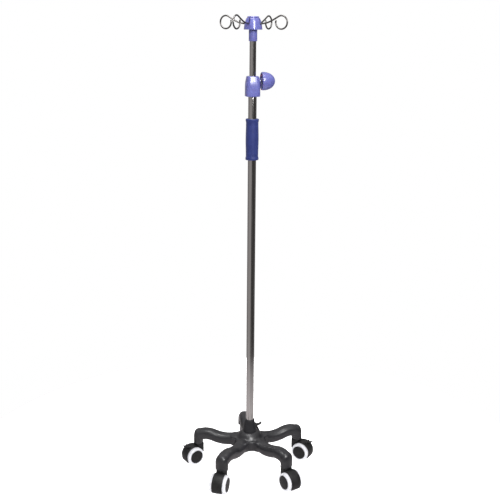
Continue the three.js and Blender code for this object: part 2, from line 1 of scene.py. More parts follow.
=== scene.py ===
import math
import bpy
import bmesh
from mathutils import Matrix, Vector
from mathutils.geometry import interpolate_bezier


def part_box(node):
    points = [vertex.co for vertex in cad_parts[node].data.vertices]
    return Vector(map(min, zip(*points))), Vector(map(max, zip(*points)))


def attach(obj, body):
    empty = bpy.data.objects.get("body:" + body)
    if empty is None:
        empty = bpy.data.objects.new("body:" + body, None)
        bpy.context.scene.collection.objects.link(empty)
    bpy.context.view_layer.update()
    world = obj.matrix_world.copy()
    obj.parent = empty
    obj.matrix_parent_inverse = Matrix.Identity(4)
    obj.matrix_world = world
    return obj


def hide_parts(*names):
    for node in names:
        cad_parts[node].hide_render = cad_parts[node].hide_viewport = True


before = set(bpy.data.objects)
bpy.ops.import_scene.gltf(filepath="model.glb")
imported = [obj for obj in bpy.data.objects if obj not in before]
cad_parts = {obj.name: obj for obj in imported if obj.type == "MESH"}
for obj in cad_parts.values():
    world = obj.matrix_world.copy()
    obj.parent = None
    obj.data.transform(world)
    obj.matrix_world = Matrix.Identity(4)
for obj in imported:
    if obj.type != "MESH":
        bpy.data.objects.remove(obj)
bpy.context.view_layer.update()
scene = bpy.context.scene
print("frame loaded")

casterNames = ["rear_right", "rear", "rear_left", "front_left", "front_right"]
brakedCasters = ["rear_right", "rear", "rear_left"]
toMetres = 0.001  # pieces are drawn in millimetres


# measures from the frame, in millimetres
def lowOf(node):
    return Vector(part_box(node)[0]) / toMetres


def highOf(node):
    return Vector(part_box(node)[1]) / toMetres


def middleOf(node):
    return (lowOf(node) + highOf(node)) / 2


def shifted(x=0, y=0, z=0):
    return Matrix.Translation((x, y, z))


def turned(angle, axis):
    return Matrix.Rotation(math.radians(angle), 4, axis)


def stretched(x, y, z=1):
    return Matrix.Diagonal((x, y, z, 1))


# making and joining shapes
def tidyMesh(bm):
    bmesh.ops.remove_doubles(bm, verts=bm.verts, dist=0.004)
    bmesh.ops.recalc_face_normals(bm, faces=bm.faces)
    return bm


def copyOf(bm, matrix=None):
    made = bm.copy()
    if matrix:
        bmesh.ops.transform(made, matrix=matrix, verts=made.verts)
    return made


def joined(parts):
    together = bmesh.new()
    for part in parts:
        carrier = bpy.data.meshes.new("carrier")
        part.to_mesh(carrier)
        together.from_mesh(carrier)
        bpy.data.meshes.remove(carrier)
    return together


def aroundZ(part, angles):
    return joined([copyOf(part, turned(angle, "Z")) for angle in angles])


def looseObject(bm):
    mesh = bpy.data.meshes.new("loose")
    bm.to_mesh(mesh)
    made = bpy.data.objects.new("loose", mesh)
    scene.collection.objects.link(made)
    return made


def evaluated(thing, helpers=()):  # the mesh after its modifiers, as a new bmesh
    bpy.context.view_layer.update()
    graph = bpy.context.evaluated_depsgraph_get()
    done = bmesh.new()
    done.from_object(thing, graph)
    for leftover in (thing, *helpers):
        mesh = leftover.data
        bpy.data.objects.remove(leftover)
        bpy.data.meshes.remove(mesh)
    return done


def combined(bm, other, operation="DIFFERENCE"):
    target, tool = looseObject(bm), looseObject(other)
    step = target.modifiers.new("combine", "BOOLEAN")
    step.operation, step.object, step.solver = operation, tool, "MANIFOLD"
    return evaluated(target, [tool])


def softened(bm, voxel, factor, repeats):  # one skin over joined shapes, then smoothed
    target = looseObject(bm)
    skin = target.modifiers.new("skin", "REMESH")
    skin.mode, skin.voxel_size, skin.adaptivity = "VOXEL", voxel, 0
    smooth = target.modifiers.new("smooth", "SMOOTH")
    smooth.factor, smooth.iterations = factor, repeats
    return evaluated(target)


def spun(profile, steps, ring=False):  # [radius, height] points turned round Z
    bm = bmesh.new()
    points = [bm.verts.new((radius, 0, height)) for radius, height in profile]
    lines = [bm.edges.new(pair) for pair in zip(points, points[1:])]
    if ring:
        lines.append(bm.edges.new((points[-1], points[0])))
    bmesh.ops.spin(bm, geom=points + lines, cent=(0, 0, 0), axis=(0, 0, 1),
                   angle=2 * math.pi, steps=steps, use_merge=True)
    return tidyMesh(bm)


def block(width, depth, height, matrix):
    bm = bmesh.new()
    bmesh.ops.create_cube(bm, size=1)
    bmesh.ops.scale(bm, vec=(width, depth, height), verts=bm.verts)
    return copyOf(bm, matrix)


def drum(radius, bottom, top, segments, matrix=None):
    bm = bmesh.new()
    bmesh.ops.create_cone(bm, cap_ends=True, segments=segments, radius1=radius, radius2=radius,
                          depth=top - bottom)
    bmesh.ops.translate(bm, vec=(0, 0, (top + bottom) / 2), verts=bm.verts)
    return copyOf(bm, matrix)


def crossDrum(radius, half, segments, place=None):  # lies along Y
    across = turned(90, "X")
    return drum(radius, -half, half, segments, place @ across if place else across)


def eased(bm, width, segments, angle, within=None):  # rounds every edge sharper than angle
    limit = math.radians(angle)
    edges = [edge for edge in bm.edges if edge.is_manifold and edge.calc_face_angle() > limit
             and (within is None or within(edge))]
    bmesh.ops.bevel(bm, geom=edges, offset=width, offset_type="OFFSET", segments=segments,
                    profile=0.5, affect="EDGES", clamp_overlap=True, material=-1)
    return tidyMesh(bm)


def profileFrom(pairs, radius, height):  # [radius, height] pairs, measured from a place
    return [(radius + outward, height + upward) for outward, upward in pairs]


def flatFace(width, depth, x=0, y=0):
    bm = bmesh.new()
    bmesh.ops.create_grid(bm, x_segments=1, y_segments=1, size=0.5)
    bmesh.ops.scale(bm, vec=(width, depth, 1), verts=bm.verts)
    bmesh.ops.translate(bm, vec=(x, y, 0), verts=bm.verts)
    return bm


def roundCorners(bm, corners, radius, segments):
    bmesh.ops.bevel(bm, geom=corners, offset=radius, offset_type="OFFSET", segments=segments,
                    profile=0.5, affect="VERTICES", material=-1)


def roundedFace(width, low, high, topCorner, footCorner=0, segments=8):  # across Y, up Z
    bm = flatFace(width, high - low, y=(high + low) / 2)
    for radius, end in ((topCorner, max), (footCorner, min)):
        if radius:
            level = end(v.co.y for v in bm.verts)
            roundCorners(bm, [v for v in bm.verts if abs(v.co.y - level) < 0.01], radius, segments)
    upright = Matrix(((0, 0, 1, 0), (1, 0, 0, 0), (0, 1, 0, 0), (0, 0, 0, 1)))
    bmesh.ops.transform(bm, matrix=upright, verts=bm.verts)
    return bm


def roundFace(radius):
    bm = bmesh.new()
    bmesh.ops.create_circle(bm, cap_ends=True, segments=28, radius=radius)
    bmesh.ops.rotate(bm, cent=(0, 0, 0), matrix=turned(90, "Y"), verts=bm.verts)
    return bm


def swept(bm, stations):  # the face is drawn out from each station to the next
    bm.faces.ensure_lookup_table()
    face = bm.faces[0]
    bmesh.ops.transform(bm, matrix=stations[0], verts=face.verts)
    for i in range(1, len(stations)):
        made = bmesh.ops.extrude_face_region(bm, geom=[face])["geom"]
        if i > 1:  # only the two end faces stay
            bmesh.ops.delete(bm, geom=[face], context="FACES_ONLY")
        face = next(item for item in made if isinstance(item, bmesh.types.BMFace))
        bmesh.ops.transform(bm, matrix=stations[i] @ stations[i - 1].inverted(), verts=face.verts)
    return tidyMesh(bm)


def smoothPath(points, steps):  # a smooth line through [along, up] points
    points = [Vector((x, 0, z)) for x, z in points]
    ahead = [*points[1:], points[-1]]
    slopes = [after - before for before, after in zip([points[0], *points], ahead)]
    path = []
    for i in range(len(points) - 1):
        path += interpolate_bezier(points[i], points[i] + slopes[i] / 6,
                                   points[i + 1] - slopes[i + 1] / 6, points[i + 1], steps + 1)[:-1]
    return [*path, points[-1]]


def stationsOn(path):
    stations = []
    for before, here, after in zip([path[0], *path], path, [*path[1:], path[-1]]):
        along = after - before
        slope = math.degrees(math.atan2(along.z, along.x))
        stations.append(Matrix.Translation(here) @ turned(-slope, "Y"))
    return stations


def finishPiece(bm, name, finish, body, nodes, sharp, place=None):
    if place:
        bmesh.ops.transform(bm, matrix=place, verts=bm.verts)
    bmesh.ops.scale(bm, vec=(toMetres,) * 3, verts=bm.verts)
    mesh = bpy.data.meshes.new(name)
    bm.to_mesh(mesh)
    bm.free()
    mesh.shade_smooth()
    mesh.set_sharp_from_angle(angle=math.radians(sharp))
    mesh.materials.append(finishes[finish])
    piece = bpy.data.objects.new(name, mesh)
    scene.collection.objects.link(piece)
    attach(piece, body)
    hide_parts(*nodes)


# shader groups
def newGroup(name, inputs, outputs):
    group = bpy.data.node_groups.new(name, "ShaderNodeTree")
    for label, value in inputs.items():
        socket = group.interface.new_socket(name=label, in_out="INPUT",
                                            socket_type="NodeSocketFloat")
        socket.default_value = value
    for label in outputs:
        group.interface.new_socket(name=label, in_out="OUTPUT", socket_type="NodeSocketFloat")
    nodes = group.nodes
    return group, nodes.new("NodeGroupInput"), nodes.new("NodeGroupOutput")


def addNode(tree, kind, links=None, **values):  # links: socket -> an output socket or a number
    node = tree.nodes.new(kind)
    for key, value in values.items():
        setattr(node, key, value)
    for key, value in (links or {}).items():
        if isinstance(value, bpy.types.NodeSocket):
            tree.links.new(value, node.inputs[key])
        else:
            node.inputs[key].default_value = value
    return node


def addMath(tree, operation, first, second, clamp=False):
    node = addNode(tree, "ShaderNodeMath", {0: first, 1: second}, operation=operation)
    node.use_clamp = clamp
    return node.outputs[0]


def addRange(tree, value, low, high, outLow=0.0, outHigh=1.0):
    links = {"Value": value, "From Min": low, "From Max": high, "To Min": outLow, "To Max": outHigh}
    return addNode(tree, "ShaderNodeMapRange", links).outputs["Result"]


def objectPlace(tree):
    return addNode(tree, "ShaderNodeTexCoord").outputs["Object"]


def addNoise(tree, place, scale, detail, roughness=0.5):
    links = {"Vector": place, "Scale": scale, "Detail": detail, "Roughness": roughness}
    return addNode(tree, "ShaderNodeTexNoise", links).outputs["Fac"]


def addBump(tree, shader, height, strength, distance):
    links = {"Height": height, "Strength": strength, "Distance": distance}
    tree.links.new(addNode(tree, "ShaderNodeBump", links).outputs["Normal"], shader.inputs["Normal"])


def makeGrainGroup():  # the fine skin of a moulding: small cells over a soft swell
    group, given, result = newGroup("mouldedGrain", {"Cell Scale": 900.0, "Swell Scale": 60.0},
                                    ["Height", "Swell"])
    place = objectPlace(group)
    links = {"Vector": place, "Scale": given.outputs["Cell Scale"]}
    cells = addNode(group, "ShaderNodeTexVoronoi", links, feature="SMOOTH_F1")
    group.links.new(cells.outputs["Distance"], result.inputs["Height"])
    swell = addNoise(group, place, given.outputs["Swell Scale"], 4.0)
    group.links.new(swell, result.inputs["Swell"])
    return group


def makeWearGroup():  # rubbed outer edges, broken up by a noise
    group, given, result = newGroup("rubbedEdges", {"Reach": 0.04, "Scale": 180.0}, ["Mask"])
    bend = addNode(group, "ShaderNodeNewGeometry").outputs["Pointiness"]
    start = addMath(group, "ADD", 0.51, addMath(group, "MULTIPLY", given.outputs["Reach"], 0.3))
    edge = addRange(group, bend, start, addMath(group, "ADD", start, given.outputs["Reach"]))
    noise = addNoise(group, objectPlace(group), given.outputs["Scale"], 5.0)
    mask = addMath(group, "MULTIPLY", edge, addRange(group, noise, 0.38, 0.66))
    group.links.new(mask, result.inputs["Mask"])
    return group


def makeDustGroup():  # dust that lies on upward faces, most near the floor
    group, given, result = newGroup("settledDust", {"Ceiling": 0.3, "Scale": 35.0}, ["Mask"])
    place = objectPlace(group)
    height = addNode(group, "ShaderNodeSeparateXYZ", {0: place}).outputs["Z"]
    facing = addNode(group, "ShaderNodeNewGeometry").outputs["Normal"]
    rise = addNode(group, "ShaderNodeSeparateXYZ", {0: facing}).outputs["Z"]
    upward = addRange(group, rise, 0.1, 1.0)
    near = addRange(group, height, given.outputs["Ceiling"], 0.0)
    noise = addNoise(group, place, given.outputs["Scale"], 7.0, 0.62)
    mask = addMath(group, "MULTIPLY", upward, near)
    mask = addMath(group, "MULTIPLY", mask, addRange(group, noise, 0.42, 0.72))
    group.links.new(mask, result.inputs["Mask"])
    return group


def makeDrawnGroup():  # fine lines along a drawn or polished length, and the marks of hands
    group, given, result = newGroup("drawnLines", {"Line Scale": 900.0, "Smear Scale": 12.0},
                                    ["Lines", "Smears"])
    place = objectPlace(group)
    squeezed = addNode(group, "ShaderNodeMapping", {"Vector": place, "Scale": (1.0, 1.0, 0.012)})
    lines = addNoise(group, squeezed.outputs[0], given.outputs["Line Scale"], 3.0)
    group.links.new(lines, result.inputs["Lines"])
    smears = addNoise(group, place, given.outputs["Smear Scale"], 6.0)
    group.links.new(addRange(group, smears, 0.45, 0.75), result.inputs["Smears"])
    return group


grainGroup, wearGroup = makeGrainGroup(), makeWearGroup()
dustGroup, drawnGroup = makeDustGroup(), makeDrawnGroup()


def useGroup(tree, group, values):
    return addNode(tree, "ShaderNodeGroup", values, node_tree=group)


def mixColour(tree, mask, first, second):
    node = addNode(tree, "ShaderNodeMix", {"Factor": mask}, data_type="RGBA")
    for socket, value in ((node.inputs[6], first), (node.inputs[7], second)):
        if isinstance(value, bpy.types.NodeSocket):
            tree.links.new(value, socket)
        else:
            socket.default_value = (*value, 1)
    return node.outputs[2]


def newFinish(name, metallic=0.0, **values):
    material = bpy.data.materials.new(name)
    material.use_nodes = True
    shader = material.node_tree.nodes["Principled BSDF"]
    shader.inputs["Metallic"].default_value = metallic
    for label, value in values.items():
        shader.inputs[label.replace("_", " ")].default_value = value
    return material, material.node_tree, shader


def mouldedFinish(name, style):
    style = {**plainMoulding, **style}
    material, tree, shader = newFinish(name, **style["shader"])
    grain = useGroup(tree, grainGroup, {"Cell Scale": style["cells"], "Swell Scale": style["swell"]})
    wear = useGroup(tree, wearGroup, {"Reach": style["wearReach"], "Scale": style["wearScale"]})
    dust = useGroup(tree, dustGroup, {"Ceiling": style["dustCeiling"]})
    tone = addRange(tree, grain.outputs["Swell"], 0.3, 0.7)
    colour = mixColour(tree, tone, style["dark"], style["light"])
    rubbed = addMath(tree, "MULTIPLY", wear.outputs["Mask"], style["wear"])
    colour = mixColour(tree, rubbed, colour, style["rubbed"])
    dusty = addMath(tree, "MULTIPLY", dust.outputs["Mask"], style["dust"])
    colour = mixColour(tree, dusty, colour, style["dustColour"])
    tree.links.new(colour, shader.inputs["Base Color"])
    low, high = style["roughness"]
    rough = addRange(tree, grain.outputs["Swell"], 0.3, 0.7, low, high)
    rough = addMath(tree, "ADD", rough, addMath(tree, "MULTIPLY", dusty, 0.25), clamp=True)
    tree.links.new(rough, shader.inputs["Roughness"])
    addBump(tree, shader, grain.outputs["Height"], style["relief"], style["depth"])
    return material


def steelFinish(name, style):
    material, tree, shader = newFinish(name, metallic=1.0)
    drawn = useGroup(tree, drawnGroup,
                     {"Line Scale": style["lines"], "Smear Scale": style["smears"]})
    tone = addRange(tree, drawn.outputs["Lines"], 0.3, 0.7)
    tree.links.new(mixColour(tree, tone, style["dark"], style["light"]), shader.inputs["Base Color"])
    low, high = style["roughness"]
    rough = addRange(tree, drawn.outputs["Lines"], 0.3, 0.7, low, high)
    smeared = addMath(tree, "MULTIPLY", drawn.outputs["Smears"], style["smearGain"])
    tree.links.new(addMath(tree, "ADD", rough, smeared, clamp=True), shader.inputs["Roughness"])
    addBump(tree, shader, drawn.outputs["Lines"], style["relief"], 0.0002)
    return material


plainMoulding = {"swell": 60.0, "wearReach": 0.06, "wearScale": 160.0, "wear": 0.3,
                 "dustCeiling": 4.0, "dust": 0.1, "depth": 0.0003, "shader": {}}
mouldedStyles = {
    "violet_plastic": {
        "dark": (0.095, 0.1, 0.3), "light": (0.112, 0.118, 0.34), "rubbed": (0.24, 0.25, 0.5),
        "cells": 1200.0, "swell": 40.0, "wearScale": 220.0, "wear": 0.15, "dust": 0.08,
        "dustColour": (0.5, 0.5, 0.56), "roughness": (0.24, 0.32), "relief": 0.012, "depth": 0.0002,
        "shader": {"Coat_Weight": 0.35, "Coat_Roughness": 0.12, "Subsurface_Weight": 0.04}},
    "blue_rubber": {
        "dark": (0.012, 0.02, 0.11), "light": (0.016, 0.027, 0.135), "rubbed": (0.04, 0.06, 0.24),
        "cells": 700.0, "swell": 55.0, "wearReach": 0.08, "wearScale": 120.0,
        "dustColour": (0.2, 0.22, 0.3), "roughness": (0.5, 0.64), "relief": 0.35, "depth": 0.0004,
        "shader": {"Sheen_Weight": 0.08, "Specular_IOR_Level": 0.3}},
    "charcoal_plastic": {
        "dark": (0.009, 0.009, 0.0105), "light": (0.015, 0.0148, 0.0175),
        "rubbed": (0.1, 0.1, 0.105), "cells": 1000.0, "swell": 30.0, "wearReach": 0.05,
        "wearScale": 90.0, "wear": 0.18, "dustCeiling": 0.25, "dust": 0.16,
        "dustColour": (0.2, 0.19, 0.18), "roughness": (0.3, 0.4), "relief": 0.12,
        "shader": {"Coat_Weight": 0.08, "Coat_Roughness": 0.3}},
    "collar_rubber": {
        "dark": (0.007, 0.007, 0.009), "light": (0.012, 0.012, 0.014),
        "rubbed": (0.05, 0.05, 0.055), "cells": 800.0, "swell": 50.0, "wearReach": 0.08,
        "wearScale": 150.0, "dustCeiling": 0.5, "dust": 0.14, "dustColour": (0.1, 0.1, 0.1),
        "roughness": (0.48, 0.62), "relief": 0.2, "shader": {"Specular_IOR_Level": 0.35}},
    "caster_plastic": {
        "dark": (0.004, 0.004, 0.0045), "light": (0.008, 0.008, 0.0088),
        "rubbed": (0.09, 0.09, 0.09), "cells": 620.0, "wear": 0.4, "dustCeiling": 0.12,
        "dust": 0.25, "dustColour": (0.14, 0.135, 0.125), "roughness": (0.42, 0.56),
        "relief": 0.35, "depth": 0.0004, "shader": {"Specular_IOR_Level": 0.3}},
    "pale_tyre": {
        "dark": (0.5, 0.5, 0.53), "light": (0.6, 0.6, 0.63), "rubbed": (0.45, 0.45, 0.46),
        "cells": 500.0, "swell": 80.0, "wearReach": 0.08, "wearScale": 120.0,
        "dustCeiling": 0.09, "dust": 0.4, "dustColour": (0.4, 0.38, 0.35),
        "roughness": (0.44, 0.58), "relief": 0.15},
    "bush_plastic": {
        "dark": (0.68, 0.66, 0.6), "light": (0.76, 0.74, 0.7), "rubbed": (0.5, 0.49, 0.46),
        "cells": 900.0, "dustColour": (0.4, 0.38, 0.35), "roughness": (0.4, 0.5),
        "relief": 0.1, "depth": 0.0002},
}
steelStyles = {
    "polished_steel": {"dark": (0.5, 0.485, 0.475), "light": (0.6, 0.59, 0.58), "lines": 700.0,
                       "smears": 11.0, "roughness": (0.1, 0.15), "smearGain": 0.06, "relief": 0.02},
    "hook_wire": {"dark": (0.13, 0.125, 0.12), "light": (0.19, 0.18, 0.175), "lines": 500.0,
                  "smears": 25.0, "roughness": (0.26, 0.34), "smearGain": 0.08, "relief": 0.02},
    "zinc_steel": {"dark": (0.5, 0.51, 0.53), "light": (0.62, 0.63, 0.65), "lines": 500.0,
                   "smears": 40.0, "roughness": (0.28, 0.4), "smearGain": 0.1, "relief": 0.08},
}
finishes = {name: mouldedFinish(name, style) for name, style in mouldedStyles.items()}
finishes.update({name: steelFinish(name, style) for name, style in steelStyles.items()})
print("finishes made")

# star base
starStyle = {
    "legWidth": 52, "halfDepth": 22, "edge": 19, "footEdge": 14, "wall": 4.5, "opening": 27,
    "wave": [(0.05, 34.5), (0.1, 34), (0.27, 32.5), (0.467, 28.5), (0.614, 32.5), (0.749, 41),
             (0.874, 42), (0.965, 36)],
    "endRadius": 20, "endWidth": 56, "endHeight": 59, "skirtDrop": 12,
    "webFillet": 28, "webEdge": 13, "webFootEdge": 9, "plateTop": 51, "plateFoot": 10,
    "crown": [(62, 43), (57, 46.5), (51, 55), (44, 65), (34.5, 73.2), (28.6, 74.9), (0, 74.9)],
    "voxel": 2.3, "smoothing": 0.6, "smoothRepeats": 13,
    "ribThickness": 3, "ribFoot": 25, "ribHeight": 120, "ribs": [92, 120, 148, 176],
    "bossRadius": 27, "boreRadius": 16.3, "headBore": 12.1, "boltBore": 5.3, "boltSeat": 6,
    "stemBossRadius": 11, "stemBore": 5.8, "stemDepth": 42.6,
}


def makeStarBase():
    style = starStyle
    foot = lowOf("star_base").z
    top = highOf("star_base").z
    stems = [middleOf(f"{name}_caster_stem").xy for name in casterNames]
    angles = [math.degrees(math.atan2(stem.y, stem.x)) for stem in stems]
    reach = stems[0].length
    half, edge, wall = style["halfDepth"], style["edge"], style["wall"]
    wave = [(share * reach, foot + rise) for share, rise in style["wave"]]
    path = smoothPath(wave, 7)
    gaps = [angle + 180 / len(angles) for angle in angles]  # midway between the legs
    below, above = foot - 60, foot + 90

    def between(low, high):
        return stationsOn([point for point in path if low <= point.x <= high])

    section = roundedFace(style["legWidth"], -half, half, edge, style["footEdge"])
    leg = swept(section, stationsOn(path))
    endRise = style["endHeight"]
    endProfile = [(0, foot - style["skirtDrop"]), (style["endRadius"], foot - style["skirtDrop"])]
    for i in range(11):  # a dome with full shoulders
        climb = math.radians(9 * i)
        radius = style["endRadius"] * math.cos(climb) ** 0.72 if i < 10 else 0
        endProfile.append((radius, foot + endRise * (0.46 + 0.54 * math.sin(climb))))
    spread = style["endWidth"] / 2 / style["endRadius"]
    legEnd = copyOf(spun(endProfile, 48), shifted(reach) @ stretched(1, spread, 1))

    halfTurn = math.radians(180 / len(angles))
    filletReach = (style["legWidth"] / 2 + style["webFillet"]) / math.sin(halfTurn)
    rimRadius = filletReach * math.cos(halfTurn) + 4

    def notches(radius):
        return aroundZ(drum(radius, below, above, 72, shifted(filletReach)), gaps)

    plateFoot = foot + style["plateFoot"]
    plate = drum(rimRadius, plateFoot, foot + style["plateTop"], 120)
    plate = combined(plate, notches(style["webFillet"]))
    middle = foot + (style["plateTop"] + style["plateFoot"]) / 2
    for width, side in ((style["webEdge"], 1), (style["webFootEdge"], -1)):
        plate = eased(plate, width, 5, 60,
                      lambda edge: all((v.co.z - middle) * side > 15 for v in edge.verts))
    crown = spun(profileFrom([(0, 20), (62, 20), *style["crown"]], 0, foot), 96)
    shell = joined([aroundZ(leg, angles), aroundZ(legEnd, angles), plate, crown])
    shell = softened(shell, style["voxel"], style["smoothing"], style["smoothRepeats"])

    # trimmed flat under the hub and the leg ends
    shell = combined(shell, block(900, 900, 100, shifted(z=foot + 0.1 - 50)))
    shell = combined(shell, drum(0.6 * rimRadius, foot - 40, plateFoot + 1, 96))

    # hollowed from below, with ribs left standing in each leg
    innerWidth = style["legWidth"] - 2 * wall
    inside = roundedFace(innerWidth, wall - half, half - wall, edge - wall,
                         style["footEdge"] - wall + 1)
    hollow = swept(inside, between(0.2 * reach, 0.97 * reach))
    slot = swept(roundedFace(style["opening"], -half - 40, 0, 0),
                 between(0.21 * reach, 0.92 * reach))
    hollow = combined(hollow, slot, "UNION")
    ribZ = foot + style["ribFoot"]
    thick, tall = style["ribThickness"], style["ribHeight"]
    spine = block(0.62 * reach, thick, tall, shifted(0.5 * reach, 0, ribZ + tall / 2))
    hollow = combined(hollow, spine)
    for x in style["ribs"]:
        hollow = combined(hollow, block(thick, 90, tall, shifted(x, 0, ribZ + tall / 2)))
    shell = combined(shell, aroundZ(hollow, angles))
    inner = style["endRadius"] - wall
    innerSpread = (style["endWidth"] / 2 - wall) / inner
    endHollow = spun([(0, foot - 20), (inner, foot - 20), (inner, foot + 0.42 * endRise),
                      (0.55 * inner, foot + 0.76 * endRise), (0, foot + 0.8 * endRise)], 40)
    endHollow = copyOf(endHollow, shifted(reach) @ stretched(1, innerSpread, 1))
    shell = combined(shell, aroundZ(endHollow, angles))
    hubHollow = drum(rimRadius - wall, foot - 20, foot + style["plateTop"] - wall, 96)
    hubHollow = combined(hubHollow, notches(style["webFillet"] + wall))
    hubHollow = combined(hubHollow, drum(style["bossRadius"], below, above, 64))
    for gap in gaps:
        rib = block(80, thick, tall, turned(gap, "Z") @ shifted(50, 0, ribZ - 10 + tall / 2))
        hubHollow = combined(hubHollow, rib)
    shell = combined(shell, hubHollow)

    # bosses and their bores
    stemBoss = drum(style["stemBossRadius"], foot + 0.6, foot + 0.75 * endRise, 40, shifted(reach))
    shell = combined(shell, aroundZ(stemBoss, angles), "UNION")
    stemHole = drum(style["stemBore"], foot - 9, foot + style["stemDepth"], 32, shifted(reach))
    shell = combined(shell, aroundZ(stemHole, angles))
    seat = lowOf("lower_tube").z - 0.3
    shell = combined(shell, drum(style["boreRadius"], seat, top + 20, 64))
    shell = combined(shell, drum(style["headBore"], foot - 30, seat - style["boltSeat"], 48))
    shell = combined(shell, drum(style["boltBore"], foot, seat + 1, 32))
    finishPiece(shell, "starBase", "charcoal_plastic", "base", ["star_base"], sharp=42)
    print("star base made")


makeStarBase()

# collar, tubes and grip
collarStyle = {"footRadius": 27.8, "topRadius": 19.5, "bore": 16.3, "flutes": 28, "fluteDepth": 0.9}


def makeCollar():
    style = collarStyle
    low, high = lowOf("base_collar").z, highOf("base_collar").z
    height = high - low
    bore, footRadius, topRadius = style["bore"], style["footRadius"], style["topRadius"]
    profile = [(bore, low), (footRadius, low)]
    for i in range(13):
        share = i / 12
        radius = footRadius + (topRadius - footRadius) * share
        profile.append((radius, low + 3 + (height - 6) * share))
    profile += [(topRadius - 0.4, high - 1), (topRadius - 1.4, high), (bore, high)]
    bm = spun(profile, style["flutes"] * 8, ring=True)
    for vert in bm.verts:  # upright flutes that fade out at both ends
        radius = vert.co.xy.length
        if radius > bore + 1:
            share = (vert.co.z - low) / height
            fade = max(0.0, min(1.0, min(share - 0.05, 0.95 - share) * 9))
            wave = 0.5 - 0.5 * math.cos(style["flutes"] * math.atan2(vert.co.y, vert.co.x))
            scale = 1 - style["fluteDepth"] * fade * wave / radius
            vert.co.x, vert.co.y = vert.co.x * scale, vert.co.y * scale
    finishPiece(tidyMesh(bm), "baseCollar", "collar_rubber", "base", ["base_collar"], sharp=50)


tubeStyle = {"lip": 0.36, "steps": 128, "wall": {"lower_tube": 1.5, "upper_tube": 1.2}}


def makeTube(node, name, body):
    low, high = lowOf(node), highOf(node)
    outer = (high.x - low.x) / 2
    inner = outer - tubeStyle["wall"][node]
    length = high.z - low.z
    rings = [(outer, low.z + length * i / 12) for i in range(13)]
    bm = spun([(inner, low.z), *rings, (inner, high.z)], tubeStyle["steps"], ring=True)
    eased(bm, tubeStyle["lip"], 2, 60)
    finishPiece(bm, name, "polished_steel", body, [node], sharp=50)


gripStyle = {"bore": 16.3, "flange": 25.6, "waist": 24.0, "belly": 25.2, "flangeHeight": 9,
             "slope": 4.5, "grooves": [0.155, 0.845]}


def makeGrip():
    style = gripStyle
    low, high = lowOf("hand_grip").z, highOf("hand_grip").z
    length = high - low
    flange, waist, belly = style["flange"], style["waist"], style["belly"]
    flangeTop = style["flangeHeight"]
    waistFoot = flangeTop + style["slope"]
    half = [(flange - 1.2, 0), (flange - 0.3, 0.9), (flange, 2.6), (flange, flangeTop - 2),
            (flange - 0.5, flangeTop), (waist, waistFoot)]
    for i in range(1, 15):
        share = i / 14
        bulge = waist + (belly - waist) * math.sin(share * math.pi / 2) ** 2
        half.append((bulge, waistFoot + (length / 2 - waistFoot) * share))
    outside = half + [(radius, length - rise) for radius, rise in reversed(half[:-1])]
    profile = [(style["bore"], low), *profileFrom(outside, 0, low), (style["bore"], high)]
    bm = spun(profile, 128, ring=True)
    eased(bm, 0.5, 2, 55)
    inner, outer = belly - 1.6, flange + 3
    for share in style["grooves"]:  # a shallow line inside each flange
        ring = spun([(inner, -0.5), (outer, -0.9), (outer, 0.9), (inner, 0.5)], 128, ring=True)
        bm = combined(bm, copyOf(ring, shifted(z=low + share * length)))
    finishPiece(bm, "handGrip", "blue_rubber", "base", ["hand_grip"], sharp=40)


makeCollar()
makeTube("lower_tube", "lowerTube", "base")
makeTube("upper_tube", "upperTube", "head")
makeGrip()
print("collar, tubes and grip made")

# clamp and knob
clampStyle = {"half": 27.25, "corner": 15, "shoulder": 38, "shoulderInset": 4.4, "crest": 4,
              "foot": 1.2, "lowerBore": 16.3, "upperBore": 14.8, "screwBore": 4.3,
              "padBore": 5.5, "padDepth": 23.5, "bossRadius": 10.5, "bossProud": 2.2,
              "bushInner": 12.8, "bushOuter": 14.5}
knobStyle = {"radius": 34.5, "rim": 8, "depth": 53, "hollow": 6, "hollowRadius": 29, "domeSteps": 20,
             "back": 33.75, "screwDepth": 26.3,
             "core": [(4.3, 0.6), (5, 0), (11, 0), (12, 1)],
             "edge": [(-3.2, 0), (-1.6, 0.5), (-0.5, 1.6), (-0.1, 3.2), (0, 5)]}
screwStyle = {"tip": 19.9, "pitch": 1.25, "turns": 30, "crest": 4.0, "root": 3.45}


def alongKnob():  # the knob's axis as local +Z, and the way it points
    knob = middleOf("clamp_screw")
    angle = math.degrees(math.atan2(knob.y, knob.x))
    return shifted(z=knob.z) @ turned(angle, "Z") @ turned(90, "Y"), angle


